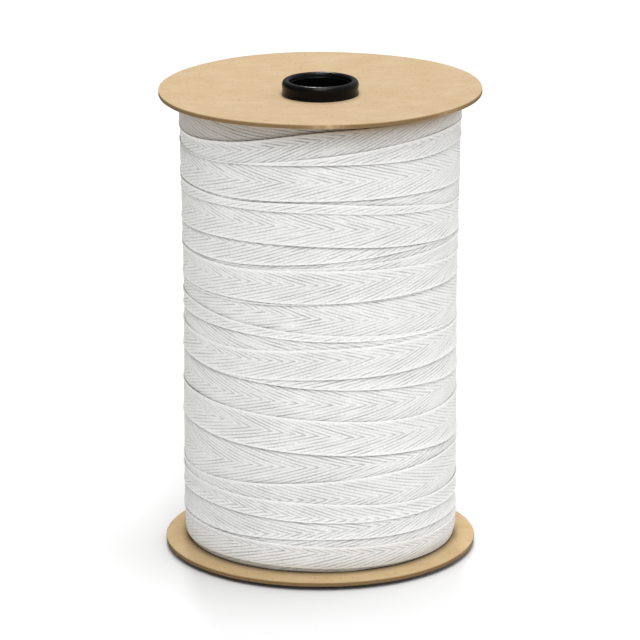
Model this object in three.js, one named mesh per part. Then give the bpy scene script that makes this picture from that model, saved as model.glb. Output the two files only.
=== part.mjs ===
// A reel of herringbone twill tape: white cotton tape, traverse-wound on a black plastic tube between
// two round kraft-board flanges.
// Millimetres, +Z up. The origin lies on the tube's axis, on the surface that the reel stands on.
// An azimuth is an angle round that axis in degrees: 0 is the front (-Y) and 90 is the right (+X).

import * as THREE from "three";

// Driving dimensions, with the tilt in degrees
const REEL_HEIGHT = 240;
const UPPER_FLANGE_RADIUS = 80;
const LOWER_FLANGE_RADIUS = 78;
const FLANGE_THICKNESS = 2.3;
const FLANGE_HUB_RADIUS = 22;
const UPPER_RIM_RISE = 3.4;
const LOWER_RIM_DROOP = 5.0;
const UPPER_FLANGE_TILT = 0.36;
const TUBE_OUTER_RADIUS = 16.7;
const TUBE_BORE_RADIUS = 14.9;
const COLLAR_HEIGHT = 7.3;
const FIT_GAP = 0.3;
const FLANGE_HOLE_CLEARANCE = 0.45;

// The collar at each end of the tube, from its foot on the flange, over the crest, into the bore.
// rise is the height above the flange's outer face.
const COLLAR_PROFILE = [
  { radius: 19.3, rise: FIT_GAP },
  { radius: 19.3, rise: 0.9 },
  { radius: 18.9, rise: 1.6 },
  { radius: 18.9, rise: 3.2 },
  { radius: 19.1, rise: 4.6 },
  { radius: 18.9, rise: 5.8 },
  { radius: 18.4, rise: 6.8 },
  { radius: 17.8, rise: COLLAR_HEIGHT },
  { radius: 16.5, rise: COLLAR_HEIGHT },
  { radius: 15.8, rise: 6.9 },
  { radius: 15.2, rise: 6.0 },
  { radius: TUBE_BORE_RADIUS, rise: 4.8 },
];

// The winding is barrel-waisted and widens a little towards the upper flange.
const WINDING_OUTLINE = [
  { height: 5, radius: 68.3 },
  { height: 75, radius: 68.6 },
  { height: 127, radius: 68.1 },
  { height: 165, radius: 68.7 },
  { height: 200, radius: 69.4 },
  { height: 232, radius: 70.0 },
];

// The laps of tape that show, from the top down. Each row gives the height of the lap's lower edge
// at five azimuths, and whether the lap lies over or under the next one down. The last lap ends on
// the lower flange.
const EDGE_AZIMUTHS = { left: -75, halfLeft: -40, front: 0, halfRight: 40, right: 75 };
const TAPE_LAPS = [
  { left: 218.9, halfLeft: 221.8, front: 230.0, halfRight: 231.4, right: 231.2, lies: "over" },
  { left: 210.8, halfLeft: 211.6, front: 217.6, halfRight: 223.6, right: 224.4, lies: "over" },
  { left: 210.0, halfLeft: 210.8, front: 213.3, halfRight: 212.2, right: 212.9, lies: "over" },
  { left: 194.2, halfLeft: 193.7, front: 195.3, halfRight: 194.8, right: 193.0, lies: "over" },
  { left: 193.5, halfLeft: 193.1, front: 194.5, halfRight: 189.9, right: 184.0, lies: "over" },
  { left: 187.5, halfLeft: 188.9, front: 189.3, halfRight: 185.6, right: 182.4, lies: "over" },
  { left: 171.3, halfLeft: 172.7, front: 172.6, halfRight: 169.3, right: 167.0, lies: "over" },
  { left: 160.4, halfLeft: 160.7, front: 164.0, halfRight: 167.0, right: 166.2, lies: "over" },
  { left: 159.8, halfLeft: 160.0, front: 162.4, halfRight: 164.2, right: 165.3, lies: "over" },
  { left: 159.2, halfLeft: 159.3, front: 160.9, halfRight: 159.2, right: 156.6, lies: "over" },
  { left: 142.6, halfLeft: 142.9, front: 143.6, halfRight: 144.6, right: 144.2, lies: "over" },
  { left: 141.2, halfLeft: 141.2, front: 143.0, halfRight: 143.9, right: 143.5, lies: "over" },
  { left: 135.4, halfLeft: 132.1, front: 128.5, halfRight: 125.3, right: 123.0, lies: "over" },
  { left: 127.0, halfLeft: 126.3, front: 124.5, halfRight: 122.9, right: 121.9, lies: "over" },
  { left: 119.6, halfLeft: 118.2, front: 121.1, halfRight: 121.4, right: 120.8, lies: "under" },
  { left: 105.4, halfLeft: 103.4, front: 105.2, halfRight: 105.8, right: 106.6, lies: "over" },
  { left: 104.8, halfLeft: 102.8, front: 100.4, halfRight: 97.5, right: 95.0, lies: "over" },
  { left: 88.6, halfLeft: 87.3, front: 85.0, halfRight: 82.0, right: 83.1, lies: "over" },
  { left: 71.5, halfLeft: 69.4, front: 67.0, halfRight: 63.9, right: 61.8, lies: "over" },
  { left: 48.2, halfLeft: 49.6, front: 53.4, halfRight: 55.9, right: 57.6, lies: "over" },
  { left: 44.2, halfLeft: 43.2, front: 42.2, halfRight: 38.7, right: 39.0, lies: "under" },
  { left: 34.3, halfLeft: 33.8, front: 31.8, halfRight: 30.6, right: 30.4, lies: "over" },
  { left: 23.5, halfLeft: 22.6, front: 23.3, halfRight: 21.4, right: 21.4, lies: "over" },
];

// Relief of a lap: its lying edge stands proud of the covered edge beside it.
const LAP_PROUD = 0.4;
const LAP_RECESS = 0.5;
const SEAM_DROP = 0.25;
const BELLY_PLACE = 0.45;
const BELLY_PROUD = 0.05;
const LEAST_LAP_SHOWING = 0.45;
const FULL_RELIEF_SHOWING = 5;
const WINDING_FOOT_RECESS = 0.7;

// Facets
const WINDING_SIDES = 48;
const FLANGE_SIDES = 72;
const TUBE_SIDES = 48;

const upperHubTop = REEL_HEIGHT - COLLAR_HEIGHT;
const upperHubUnderside = upperHubTop - FLANGE_THICKNESS;
const lowerHubUnderside = COLLAR_HEIGHT;
const lowerHubTop = lowerHubUnderside + FLANGE_THICKNESS;
const flangeHoleRadius = TUBE_OUTER_RADIUS + FLANGE_HOLE_CLEARANCE;
const tiltSlope = Math.tan(THREE.MathUtils.degToRad(UPPER_FLANGE_TILT));

// How far a flange's face has left its hub plane at a radius: flat to the hub radius, then a cone.
function coneRise(radius, rimRadius, rimRise) {
  const share = (radius - FLANGE_HUB_RADIUS) / (rimRadius - FLANGE_HUB_RADIUS);
  return rimRise * Math.max(0, share);
}

// Height of the upper flange's underside, which tilts up towards +X.
function upperFlangeUnderside(radius, azimuth) {
  const across = radius * Math.sin(THREE.MathUtils.degToRad(azimuth));
  return upperHubUnderside + coneRise(radius, UPPER_FLANGE_RADIUS, UPPER_RIM_RISE) + across * tiltSlope;
}

function lowerFlangeTop(radius) {
  return lowerHubTop - coneRise(radius, LOWER_FLANGE_RADIUS, LOWER_RIM_DROOP);
}

function windingRadius(height) {
  const last = WINDING_OUTLINE.length - 1;
  const above = WINDING_OUTLINE.findIndex((row) => row.height > height);
  if (above === 0) return WINDING_OUTLINE[0].radius;
  if (above < 0) return WINDING_OUTLINE[last].radius;
  const low = WINDING_OUTLINE[above - 1];
  const high = WINDING_OUTLINE[above];
  const share = (height - low.height) / (high.height - low.height);
  return THREE.MathUtils.lerp(low.radius, high.radius, share);
}

// A lap's lower edge all the way round: a smooth closed curve through its five heights, with the
// mean of its two sides at the back.
function lapEdgeHeight(lap, azimuth) {
  const front = Object.entries(EDGE_AZIMUTHS).map(([name, at]) => ({ at, height: lap[name] }));
  const back = { at: 180, height: (lap.left + lap.right) / 2 };
  const knots = [...front, back];
  const count = knots.length;
  const knot = (index) => {
    const turns = Math.floor(index / count);
    const { at, height } = knots[index - turns * count];
    return { at: at + 360 * turns, height };
  };
  const slope = (index) => {
    const before = knot(index - 1);
    const after = knot(index + 1);
    return (after.height - before.height) / (after.at - before.at);
  };
  const place = azimuth < EDGE_AZIMUTHS.left ? azimuth + 360 : azimuth;
  let index = 0;
  while (knot(index + 1).at <= place) index += 1;
  const from = knot(index);
  const to = knot(index + 1);
  const span = to.at - from.at;
  const t = (place - from.at) / span;
  const settle = t * t * (3 - 2 * t);
  const leave = t * (1 - t) * (1 - t) * span * slope(index);
  const arrive = t * t * (t - 1) * span * slope(index + 1);
  return THREE.MathUtils.lerp(from.height, to.height, settle) + leave + arrive;
}

// The heights of all the laps' boundaries at one azimuth, from the upper flange to the lower one.
function lapBoundaries(azimuth) {
  const topRadius = windingRadius(upperHubUnderside);
  const footRadius = windingRadius(lowerHubTop);
  const heights = [upperFlangeUnderside(topRadius, azimuth) - FIT_GAP];
  for (const lap of TAPE_LAPS) {
    const highest = heights[heights.length - 1] - LEAST_LAP_SHOWING;
    heights.push(Math.min(highest, lapEdgeHeight(lap, azimuth)));
  }
  heights.push(lowerFlangeTop(footRadius) + FIT_GAP);
  return heights;
}

// One lap's outer face at one azimuth, as points from its upper edge, over its belly, to its lower.
function lapFace(index, boundaries) {
  const top = boundaries[index];
  const low = boundaries[index + 1];
  const showing = top - low;
  const relief = Math.min(1, showing / FULL_RELIEF_SHOWING);
  const drop = Math.min(SEAM_DROP, showing / 4);
  const isFirst = index === 0;
  const isLast = index === TAPE_LAPS.length;
  const coveredAbove = !isFirst && TAPE_LAPS[index - 1].lies === "over";
  const coveredBelow = !isLast && TAPE_LAPS[index].lies === "under";
  const edge = (height, covered) => {
    const proud = covered ? -LAP_RECESS * relief : LAP_PROUD * relief;
    return { radius: windingRadius(height) + proud, height };
  };
  const upper = edge(coveredAbove ? top - drop : top, coveredAbove);
  const lower = edge(coveredBelow ? low + drop : low, coveredBelow);
  const bellyHeight = top - BELLY_PLACE * showing;
  const belly = { radius: windingRadius(bellyHeight) + BELLY_PROUD, height: bellyHeight };
  if (isLast) lower.radius = windingRadius(low) - WINDING_FOOT_RECESS;
  return [upper, belly, lower];
}

// The winding's whole section at one azimuth: down its outer face, in along the lower flange, up
// the tube and out along the upper flange.
function windingSection(azimuth) {
  const boundaries = lapBoundaries(azimuth);
  const laps = boundaries.slice(1).map((_, index) => lapFace(index, boundaries));
  const boreRadius = TUBE_OUTER_RADIUS + FIT_GAP;
  const under = (radius) => ({ radius, height: upperFlangeUnderside(radius, azimuth) - FIT_GAP });
  const over = (radius) => ({ radius, height: lowerFlangeTop(radius) + FIT_GAP });
  return [
    ...laps.flat(),
    over(FLANGE_HUB_RADIUS),
    over(boreRadius),
    under(boreRadius),
    under(FLANGE_HUB_RADIUS),
  ];
}

// A closed skin over sections that are spaced evenly round the axis, each a closed loop of points.
function skinOverSections(sections) {
  const sides = sections.length;
  const around = sections[0].length;
  const positions = [];
  const faces = [];
  sections.forEach((section, side) => {
    const angle = (side / sides) * 2 * Math.PI;
    for (const { radius, height } of section) {
      positions.push(radius * Math.sin(angle), -radius * Math.cos(angle), height);
    }
  });
  for (let side = 0; side < sides; side += 1) {
    const next = (side + 1) % sides;
    for (let point = 0; point < around; point += 1) {
      const down = (point + 1) % around;
      const a = side * around + point;
      const b = side * around + down;
      const c = next * around + down;
      const d = next * around + point;
      faces.push(a, b, c, a, c, d);
    }
  }
  const geometry = new THREE.BufferGeometry();
  geometry.setAttribute("position", new THREE.Float32BufferAttribute(positions, 3));
  geometry.setIndex(faces);
  geometry.computeVertexNormals();
  return geometry;
}

// A body turned about +Z from a closed outline of { radius, height } points.
function turned(outline, sides) {
  const profile = [...outline, outline[0]].map(({ radius, height }) => new THREE.Vector2(radius, height));
  return new THREE.LatheGeometry(profile, sides).rotateX(Math.PI / 2);
}

function namedMesh(name, geometry, look) {
  const mesh = new THREE.Mesh(geometry, new THREE.MeshStandardMaterial(look));
  mesh.name = name;
  return mesh;
}

function tapeWinding() {
  const sections = Array.from({ length: WINDING_SIDES }, (_, side) => {
    const turn = (side / WINDING_SIDES) * 360;
    return windingSection(turn > 180 ? turn - 360 : turn);
  });
  const bleachedCotton = { color: 0xf0f0ee, roughness: 0.9, metalness: 0 };
  return namedMesh("tape_winding", skinOverSections(sections), bleachedCotton);
}

// A flange's outline about its own hub plane, with its underside at height 0 round the hole.
function flangeOutline(rimRadius, rimRise) {
  return [
    { radius: flangeHoleRadius, height: 0 },
    { radius: FLANGE_HUB_RADIUS, height: 0 },
    { radius: rimRadius, height: rimRise },
    { radius: rimRadius, height: rimRise + FLANGE_THICKNESS },
    { radius: FLANGE_HUB_RADIUS, height: FLANGE_THICKNESS },
    { radius: flangeHoleRadius, height: FLANGE_THICKNESS },
  ];
}

function upperFlange() {
  const board = { color: 0xe3c8a2, roughness: 0.85, metalness: 0 };
  const outline = flangeOutline(UPPER_FLANGE_RADIUS, UPPER_RIM_RISE);
  const mesh = namedMesh("upper_flange", turned(outline, FLANGE_SIDES), board);
  mesh.position.z = upperHubUnderside;
  mesh.rotation.y = -THREE.MathUtils.degToRad(UPPER_FLANGE_TILT);
  return mesh;
}

function lowerFlange() {
  const board = { color: 0xd0af7e, roughness: 0.85, metalness: 0 };
  const outline = flangeOutline(LOWER_FLANGE_RADIUS, -LOWER_RIM_DROOP);
  const mesh = namedMesh("lower_flange", turned(outline, FLANGE_SIDES), board);
  mesh.position.z = lowerHubUnderside;
  return mesh;
}

// The tube and its two collars are one moulding; the lower collar mirrors the upper one.
function coreTube() {
  const upperCollar = COLLAR_PROFILE.map(({ radius, rise }) => ({ radius, height: upperHubTop + rise }));
  const lowerCollar = COLLAR_PROFILE.map(({ radius, rise }) => ({ radius, height: lowerHubUnderside - rise }));
  const outline = [
    { radius: TUBE_OUTER_RADIUS, height: lowerHubUnderside - FIT_GAP },
    { radius: TUBE_OUTER_RADIUS, height: upperHubTop + FIT_GAP },
    ...upperCollar,
    ...lowerCollar.reverse(),
  ];
  const blackPlastic = { color: 0x121212, roughness: 0.4, metalness: 0 };
  return namedMesh("core_tube", turned(outline, TUBE_SIDES), blackPlastic);
}

const reel = new THREE.Group();
reel.name = "twill_tape_reel";
reel.add(tapeWinding(), upperFlange(), lowerFlange(), coreTube());

export default reel;
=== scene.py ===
# %% [markdown]
# # A reel of herringbone twill tape
#
# White cotton tape is wound on a black plastic tube between two round boards of brown
# kraft. A lathe shape with a photo of tape wrapped round it would be quick, but it would
# look printed from close by. So every lap of tape is its own band here, with its twill
# ridges in the mesh.
#
# Each shape is worked out with numpy as one array of points, in millimetres, and only
# then becomes a mesh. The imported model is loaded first: it is the frame that says where
# every piece sits.

import bpy
import numpy as np
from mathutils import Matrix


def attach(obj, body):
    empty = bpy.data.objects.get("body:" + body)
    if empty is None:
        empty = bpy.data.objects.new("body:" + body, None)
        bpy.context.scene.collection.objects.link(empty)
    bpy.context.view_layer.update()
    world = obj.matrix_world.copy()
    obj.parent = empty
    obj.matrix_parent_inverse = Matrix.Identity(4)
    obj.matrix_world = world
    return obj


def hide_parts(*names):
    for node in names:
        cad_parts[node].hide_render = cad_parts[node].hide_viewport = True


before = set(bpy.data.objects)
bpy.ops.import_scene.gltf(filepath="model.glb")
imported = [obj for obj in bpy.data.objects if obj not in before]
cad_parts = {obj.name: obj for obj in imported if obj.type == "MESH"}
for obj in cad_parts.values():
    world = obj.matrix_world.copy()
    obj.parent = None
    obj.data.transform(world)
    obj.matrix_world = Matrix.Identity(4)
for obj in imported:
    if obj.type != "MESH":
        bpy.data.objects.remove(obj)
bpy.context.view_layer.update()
MM = 0.001
print("nodes in the frame:", sorted(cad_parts))

# %% [markdown]
# ## The camera
#
# The reel is seen from about two metres away, looking down by 16 degrees, so its upright
# lines stay almost parallel. A long lens from far away draws that; a short lens from
# close by would make the upper board look much larger than the lower one.

# %% Camera
CAMERA_DISTANCE = 2196.8
CAMERA_HEIGHT = 746.1
CAMERA_SIDE = -0.15
CAMERA_PITCH = np.radians(15.993)
SENSOR_WIDTH = 36.0
FOCAL_LENGTH = 256.58

camera = bpy.data.objects.new("camera", bpy.data.cameras.new("camera"))
bpy.context.scene.collection.objects.link(camera)
bpy.context.scene.camera = camera
camera.location = np.array([CAMERA_SIDE, -CAMERA_DISTANCE, CAMERA_HEIGHT]) * MM
camera.rotation_euler = (np.pi / 2 - CAMERA_PITCH, 0, 0)
camera.data.sensor_width = SENSOR_WIDTH
camera.data.lens = FOCAL_LENGTH
camera.data.clip_end = 100
print("camera at", np.round(camera.location, 3))

# %% [markdown]
# ## Small helpers
#
# Colours are written as sRGB hex, as a picture shows them, while a shader wants linear
# light, so one function turns them. One more function adds a node with its settings and
# links, which keeps each material readable as a short list.

# %% Colour and node helpers
def linear(hex_colour):
    """An sRGB hex colour as linear RGBA: each channel is undone from its gamma curve."""
    srgb = np.array([int(hex_colour[i : i + 2], 16) for i in (1, 3, 5)]) / 255
    curve = ((srgb + 0.055) / 1.055) ** 2.4
    return (*np.where(srgb <= 0.04045, srgb / 12.92, curve).tolist(), 1.0)


def add_node(material, kind, settings=None, inputs=None):
    """Adds a node. settings are its own properties, and inputs its sockets by name or
    number, each with a value or with another node's output to link."""
    node = material.node_tree.nodes.new("ShaderNode" + kind)
    for name, value in (settings or {}).items():
        setattr(node, name, value)
    for name, value in (inputs or {}).items():
        if isinstance(value, bpy.types.NodeSocket):
            material.node_tree.links.new(value, node.inputs[name])
        else:
            node.inputs[name].default_value = value
    return node


def new_material(name):
    """An empty node material with its output node, as (material, output)."""
    material = bpy.data.materials.new(name)
    material.use_nodes = True
    material.node_tree.nodes.clear()
    return material, add_node(material, "OutputMaterial")


print("linear value of mid grey:", round(linear("#808080")[0], 4))

# %% [markdown]
# Every piece of the reel is a ring: a closed section carried all the way round the tube.
# So one function can turn any of them into a mesh. It takes a grid of points that closes
# both ways, joins neighbours with four-sided faces, and measures the enclosed volume. If
# that comes out negative, the faces look inwards and are turned round.

# %% Ring mesh helper
def ring_piece(name, points, uv, shades, material):
    """A mesh over points[i, j] in mm, where i runs round the reel and j round the section,
    both closed. uv[i, j] has one more row and column, so that the pattern doesn't jump
    back at the seam. shades holds named per-point values for the material. The volume
    is the sum over all faces abcd of a times (b cross c + c cross d), over 6."""
    around, along = points.shape[:2]
    i, j = np.meshgrid(np.arange(around), np.arange(along), indexing="ij")
    step_i = np.stack([i, i + 1, i + 1, i], -1).reshape(-1, 4)
    step_j = np.stack([j, j, j + 1, j + 1], -1).reshape(-1, 4)
    quads = (step_i % around) * along + step_j % along
    place = points.reshape(-1, 3) * MM
    a, b, c, d = (place[quads[:, k]] for k in range(4))
    volume = np.einsum("ij,ij->", a, np.cross(b, c) + np.cross(c, d)) / 6
    if volume < 0:
        quads, step_i, step_j = quads[:, ::-1], step_i[:, ::-1], step_j[:, ::-1]
    mesh = bpy.data.meshes.new(name)
    mesh.vertices.add(len(place))
    mesh.vertices.foreach_set("co", place.ravel())
    mesh.loops.add(quads.size)
    mesh.loops.foreach_set("vertex_index", quads.ravel().astype(np.int32))
    mesh.polygons.add(len(quads))
    mesh.polygons.foreach_set("loop_start", np.arange(0, quads.size, 4, dtype=np.int32))
    mesh.update(calc_edges=True)
    mesh.shade_smooth()
    layer = mesh.uv_layers.new(name="pattern_mm")
    layer.uv.foreach_set("vector", uv[step_i, step_j].astype(np.float32).ravel())
    for shade, value in shades.items():
        held = mesh.attributes.new(shade, "FLOAT", "POINT")
        everywhere = np.broadcast_to(value, (around, along))
        held.data.foreach_set("value", everywhere.astype(np.float32).ravel())
    mesh.materials.append(material)
    piece = bpy.data.objects.new(name, mesh)
    bpy.context.scene.collection.objects.link(piece)
    print(f"{name}: {2 * len(quads)} triangles, {abs(volume) * 1e6:.1f} ml")
    return piece


def turned_point(radius, azimuth, height):
    """Points in mm from a radius, an azimuth in degrees and a height. Azimuth 0 is the
    front, towards -Y, and 90 is the right, towards +X."""
    turn = np.radians(azimuth)
    return np.stack([radius * np.sin(turn), -radius * np.cos(turn), height], -1)


def settle(x):
    """Goes from 0 to 1 with level ends as x does: x squared times (3 - 2x)."""
    x = np.clip(x, 0, 1)
    return x * x * (3 - 2 * x)


def smooth_curve(knots, values, places):
    """A smooth curve through values at knots: cubic between two knots, with the slope at
    each knot taken across its two neighbours. The first and last knot only give slopes."""
    knots, values = np.asarray(knots, float), np.asarray(values, float)
    slopes = (values[2:] - values[:-2]) / (knots[2:] - knots[:-2])
    k = np.clip(np.searchsorted(knots, places, side="right") - 1, 1, len(knots) - 3)
    span = knots[k + 1] - knots[k]
    t = (places - knots[k]) / span
    leave = t * (1 - t) ** 2 * span * slopes[k - 1]
    arrive = t * t * (t - 1) * span * slopes[k]
    return values[k] + (values[k + 1] - values[k]) * settle(t) + leave + arrive


def soft_noise(azimuth, rng, waves, size):
    """A closed random curve round the reel: a sum of sines with whole numbers of waves,
    each with its own random start, of about the given size."""
    start = rng.uniform(0, 2 * np.pi, len(waves))
    turn = np.radians(azimuth)[..., None]
    return size * np.sin(turn * np.array(waves) + start).sum(-1) / np.sqrt(len(waves))


# %% [markdown]
# ## The measures of the reel
#
# These repeat the driving dimensions of the solids, in millimetres. The two boards are
# slightly dished, because the winding presses them apart at the tube and lets their rims
# go, and the upper one tilts a little up to the right.

# %% Driving dimensions
REEL_HEIGHT = 240.0
UPPER_FLANGE_RADIUS = 80.0
LOWER_FLANGE_RADIUS = 78.0
FLANGE_THICKNESS = 2.3
FLANGE_HUB_RADIUS = 22.0
UPPER_RIM_RISE = 3.4
LOWER_RIM_DROOP = 5.0
UPPER_FLANGE_TILT = 0.36
TUBE_OUTER_RADIUS = 16.7
TUBE_BORE_RADIUS = 14.9
COLLAR_HEIGHT = 7.3
FIT_GAP = 0.3
HOLE_CLEARANCE = 0.45
FLANGE_HOLE_RADIUS = TUBE_OUTER_RADIUS + HOLE_CLEARANCE

upper_hub_underside = REEL_HEIGHT - COLLAR_HEIGHT - FLANGE_THICKNESS
lower_hub_top = COLLAR_HEIGHT + FLANGE_THICKNESS
print("the boards' hubs face each other at", upper_hub_underside, "and", lower_hub_top)


def cone_rise(radius, rim_radius, rim_rise):
    """How far a board has left its hub plane at a radius: level, then a straight cone."""
    share = (radius - FLANGE_HUB_RADIUS) / (rim_radius - FLANGE_HUB_RADIUS)
    return rim_rise * np.maximum(share, 0)


def upper_underside(radius, azimuth):
    """Height of the upper board's underside: its hub plane, plus the cone, plus the tilt,
    which is the distance to the right times the tangent of its angle."""
    tilt = radius * np.sin(np.radians(azimuth)) * np.tan(np.radians(UPPER_FLANGE_TILT))
    return upper_hub_underside + cone_rise(radius, UPPER_FLANGE_RADIUS, UPPER_RIM_RISE) + tilt


def lower_top(radius):
    """Height of the lower board's top face: its hub plane less the cone."""
    return lower_hub_top - cone_rise(radius, LOWER_FLANGE_RADIUS, LOWER_RIM_DROOP)


# %% [markdown]
# ## Where the laps of tape lie
#
# The tape is traverse-wound: the guide moves up and down while the reel turns, so each
# lap slants a little and covers part of the one before. What shows is two dozen bands,
# some wide, some mere slivers. Each band is known by its lower edge, measured at five
# places across the front.
#
# A random stack of bands would be easier, but the slants and slivers are what make this
# reel look like itself. The table also says whether the band lies over or under the next
# one down, and how far above that lower edge the points of its chevrons run.

# %% Laps of tape
# The winding's radius at some heights. Its foot is drawn in over the lowest FOOT_REACH.
WINDING_OUTLINE = {5: 68.3, 75: 68.6, 127: 68.1, 165: 68.7, 200: 69.4, 232: 70.0}
OUTLINE_FOOT, OUTLINE_TOP = min(WINDING_OUTLINE), max(WINDING_OUTLINE)
FOOT_ROUNDING = 2.3
FOOT_REACH = 6.5
EDGE_AZIMUTHS = [-75, -40, 0, 40, 75]

# Height of the lower edge from left to right, over or under the next lap down, then at the
# left and at the right: the chevrons' points above that edge, and how far its seam gapes.
TAPE_LAPS = [
    (218.9, 221.8, 230.0, 231.4, 231.2, "under", -1.0, -1.0, 0.05, 0.9),
    (210.8, 211.6, 217.6, 222.4, 223.2, "under", 4.5, 13.0, 0.7, 0.05),
    (210.0, 210.8, 213.3, 212.2, 212.9, "over", 7.5, 7.5, 0.8, 0.7),
    (194.2, 193.7, 195.3, 194.8, 193.0, "over", 9.3, 9.3, 0.6, 0.7),
    (193.5, 193.1, 194.5, 189.9, 184.0, "under", 9.5, 9.5, 0.6, 0.7),
    (187.5, 188.9, 189.3, 185.6, 182.4, "over", 8.0, 8.0, 0.3, 0.2),
    (171.3, 172.7, 172.6, 169.3, 167.0, "over", 9.1, 9.1, 0.75, 1.0),
    (160.4, 160.7, 164.0, 167.0, 166.2, "over", 9.5, 9.5, 1.0, 0.4),
    (159.8, 160.0, 162.4, 164.2, 165.3, "under", 9.5, 9.5, 0.6, 0.2),
    (159.2, 159.3, 160.9, 159.2, 156.6, "under", 9.5, 9.5, 0.5, 0.2),
    (142.6, 142.9, 143.6, 144.6, 144.2, "over", 9.5, 9.5, 0.6, 0.9),
    (141.2, 141.2, 143.0, 143.9, 143.5, "over", 3.0, 3.0, 0.3, 0.5),
    (135.4, 132.1, 128.5, 125.3, 123.0, "under", 8.2, 8.2, 0.7, 0.2),
    (127.0, 126.3, 124.5, 122.9, 121.9, "over", 9.5, 9.5, 0.6, 0.3),
    (119.6, 118.2, 121.1, 121.4, 120.8, "under", -1.0, -1.0, 0.2, 0.05),
    (105.4, 103.4, 105.2, 105.8, 106.6, "over", 9.5, 9.5, 0.2, 0.8),
    (104.8, 102.8, 100.4, 97.5, 95.0, "over", 9.5, 9.5, 1.0, 0.4),
    (88.6, 87.3, 85.0, 82.0, 83.1, "under", 7.0, 9.5, 0.7, 0.5),
    (71.5, 69.4, 67.0, 63.9, 61.8, "over", 9.6, 9.6, 0.8, 0.8),
    (48.2, 49.6, 53.4, 55.9, 57.6, "under", 11.0, 4.5, 0.6, 0.8),
    (44.2, 43.2, 42.2, 38.7, 39.0, "under", -3.0, 7.5, 0.2, 0.6),
    (34.3, 33.8, 31.8, 30.6, 30.4, "over", 4.0, 0.0, 0.5, 0.3),
    (22.5, 21.9, 23.1, 22.1, 22.4, "over", -1.0, 8.8, 0.6, 0.5),
    (21.5, 21.2, 19.9, 18.2, 18.3, "under", 9.5, 9.5, 0.3, 0.2),
    (8.0, 8.6, 7.8, 6.7, 6.2, "over", 9.3, 6.8, 0.5, 0.5),
]
# The last lap reaches down to the lower board, so it has no row of its own.
LAST_LAP_POINTS = (9.5, 9.5)
LAST_LAP_GAPE = (1.1, 1.0)
LEAST_LAP_SHOWING = 0.45
# The first lap sinks in towards the right, under the upper board.
LAP_SINKS = {0: (0.0, 2.4)}
# The table gives the dark line of each seam. The edge that shows lies just above that line
# where the lap is over the next one, and just below it where the lap is under.
SEAM_SHIFT = {"over": 0.35, "under": -0.3}

AZIMUTHS = np.arange(0, 360, 0.25)
foot_height = lower_top(WINDING_OUTLINE[OUTLINE_FOOT]) + FIT_GAP


def winding_radius(height):
    """The winding's outline, drawn in at its foot by the square of the way down."""
    outline = np.interp(height, list(WINDING_OUTLINE), list(WINDING_OUTLINE.values()))
    down = np.clip((foot_height + FOOT_REACH - height) / FOOT_REACH, 0, 1)
    return outline - FOOT_ROUNDING * down**2


def edge_height(heights):
    """A lap's lower edge all the way round, through its five heights in front and their
    sides' mean at the back."""
    knots = [*EDGE_AZIMUTHS, 180]
    values = [*heights, (heights[0] + heights[-1]) / 2]
    knots = [knots[-1] - 360, *knots, *(knot + 360 for knot in knots[:2])]
    values = [values[-1], *values, *values[:2]]
    knots.insert(0, EDGE_AZIMUTHS[-1] - 360)
    values.insert(0, heights[-1])
    place = np.where(AZIMUTHS > 180, AZIMUTHS - 360, AZIMUTHS)
    return smooth_curve(knots, values, place)


def lap_boundaries():
    """All boundaries between laps on AZIMUTHS, from the upper board down to the lower one.
    Each stays a little below the one before it."""
    rows = [upper_underside(winding_radius(upper_hub_underside), AZIMUTHS) - FIT_GAP]
    for lap in TAPE_LAPS:
        edge = edge_height(lap[:5]) + SEAM_SHIFT[lap[5]]
        rows.append(np.minimum(rows[-1] - LEAST_LAP_SHOWING, edge))
    return np.array([*rows, np.full(len(AZIMUTHS), foot_height)])


boundaries = lap_boundaries()
lies_over = [lap[5] == "over" for lap in TAPE_LAPS]
thinnest = np.diff(-boundaries, axis=0).min()
print(len(boundaries) - 1, "laps; the thinnest shows", round(thinnest, 2), "mm")

# %% [markdown]
# ## Bleached cotton twill
#
# The tape is bleached cotton, woven on a narrow loom as a herringbone twill: 46 warp
# yarns, 0.41 mm apart, each passing over two wefts and under two. That gives the eye a
# matt white with fine diagonal ridges, soft grey valleys between them where light gets
# lost between the yarns, and no gloss at all.
#
# An image of twill would repeat. Here the mesh carries the ridges, and three values stored
# at each point tell the shader where it is. "twill" is 1 on a ridge and lower in a valley:
# the grey of a valley is partly the gaps between the yarns and partly painted shade, and
# the smooth selvedges, at the full value, are a painted highlight. The second value is the
# painted shade in the seam beside another lap, and the third a brown painted shade beside
# the boards. The yarns themselves are finer than a pixel, so they are drawn as slubs, thick
# places in the yarn, 0.6 mm wide.

# %% Cotton material
cotton, cotton_output = new_material("bleached_cotton_twill_woven")
SLUB_WIDTH = 0.6
SLUB_LENGTH = 1.4
SLUB_CONTRAST = 0.19
TINT_PATCH = 35.0
TINT_MOST = 0.5
CREASE_DARKNESS = 0.62
# The values of a noise node stay mostly between these two.
NOISE_RANGE = {"From Min": 0.3, "From Max": 0.7}

tape_place = add_node(cotton, "UVMap", {"uv_map": "pattern_mm"})
slub_place = add_node(
    cotton,
    "Mapping",
    inputs={"Vector": tape_place.outputs["UV"], "Scale": (1 / SLUB_LENGTH, 1 / SLUB_WIDTH, 1)},
)
slub = add_node(
    cotton,
    "TexNoise",
    inputs={"Vector": slub_place.outputs["Vector"], "Scale": 1.0, "Detail": 2.0},
)
twill_with_painted_light = add_node(cotton, "Attribute", {"attribute_name": "twill"})
slub_shift = add_node(
    cotton,
    "MapRange",
    inputs={
        "Value": slub.outputs["Fac"],
        **NOISE_RANGE,
        "To Min": -SLUB_CONTRAST,
        "To Max": SLUB_CONTRAST,
    },
)
yarn_light = add_node(
    cotton,
    "Math",
    {"operation": "ADD", "use_clamp": True},
    {0: twill_with_painted_light.outputs["Fac"], 1: slub_shift.outputs["Result"]},
)
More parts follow.
